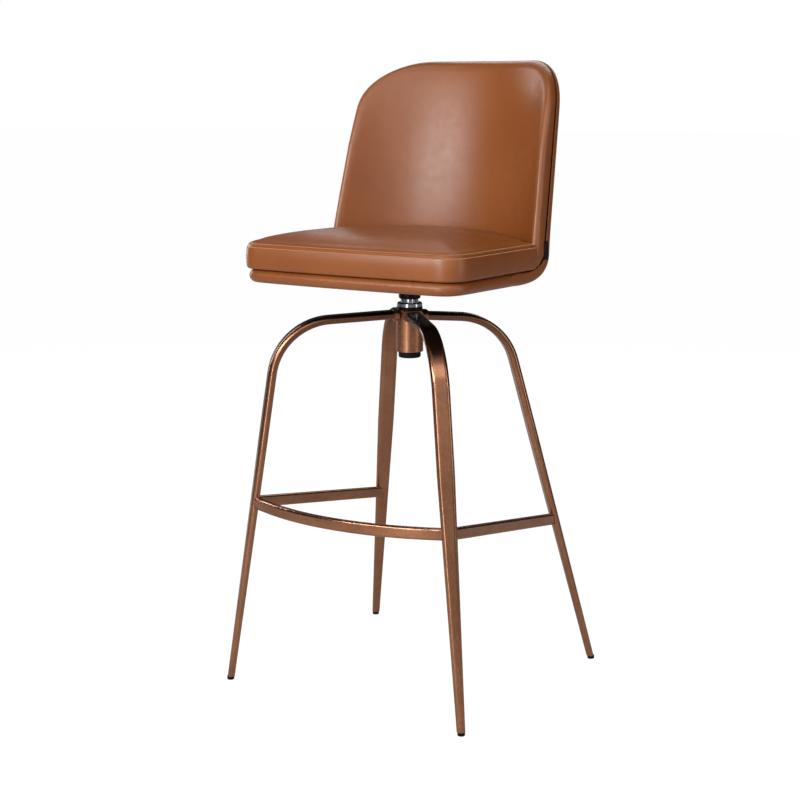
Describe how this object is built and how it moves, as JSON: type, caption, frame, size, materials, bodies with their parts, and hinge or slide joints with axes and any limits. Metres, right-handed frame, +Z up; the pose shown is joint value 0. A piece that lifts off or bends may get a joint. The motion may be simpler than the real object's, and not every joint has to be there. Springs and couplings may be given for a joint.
{
  "type": "swivel bar stool",
  "caption": "Bar-height stool with a padded seat and curved back on a swivel hub, splayed tapering legs and a bowed front footrest.",
  "frame": {"origin": "on the floor, under the middle of the stool's outer box; the swivel axis is 14.6 mm in front of it", "axes": "+Z up, -Y towards the front footrest and the way the sitter faces, +X to the sitter's left"},
  "size_m": [0.4968, 0.5151, 1.0865],
  "materials": {
    "bronze_metal": "brushed antique copper-bronze, satin, darker in the brushing",
    "black_plastic": "moulded black plastic, fine matt",
    "nylon": "natural nylon",
    "black_steel": "black powder coat",
    "bright_steel": "bright plated steel",
    "zinc_steel": "zinc plated steel",
    "plywood": "raw birch plywood",
    "dust_cloth": "black non-woven cloth",
    "cognac_leather": "smooth cognac leather, semi-gloss, fine grain, tone-on-tone stitching",
    "tag_cloth": "plain black woven tape"
  },
  "bodies": {
    "base": {"hub_barrel": "bronze_metal", "hub_bottom_cap": "black_plastic", "lower_bush": "nylon", "upper_bush": "nylon", "lower_race": "black_steel", "bearing_balls": "bright_steel", "ball_cage": "nylon", "leg_front_left": "bronze_metal", "leg_front_right": "bronze_metal", "leg_rear_left": "bronze_metal", "leg_rear_right": "bronze_metal", "foot_glide_front_left": "black_plastic", "foot_glide_front_right": "black_plastic", "foot_glide_rear_left": "black_plastic", "foot_glide_rear_right": "black_plastic", "footrest_front": "bronze_metal", "footrest_left": "bronze_metal", "footrest_right": "bronze_metal"},
    "seat": {"swivel_spindle": "bright_steel", "spindle_washer": "bright_steel", "retaining_clip": "bright_steel", "swivel_flange": "bright_steel", "ribbed_neck": "bright_steel", "seat_boss": "black_steel", "seat_plate": "black_steel", "plate_screws": "black_steel", "tee_nuts": "zinc_steel", "seat_board": "plywood", "back_board": "plywood", "dust_cover": "dust_cloth", "back_bracket_left": "zinc_steel", "back_bracket_right": "zinc_steel", "bracket_screws": "zinc_steel", "pan_upholstery": "cognac_leather", "back_front_pad": "cognac_leather", "back_outer_panel": "cognac_leather", "seat_cushion": "cognac_leather", "side_tag": "tag_cloth"}
  },
  "joints": [
    {"name": "seat_swivel", "type": "hinge", "parent": "base", "child": "seat", "pos_m": [0, -0.0146, 0.66], "axis": [0, 0, 1], "continuous": true}
  ]
}
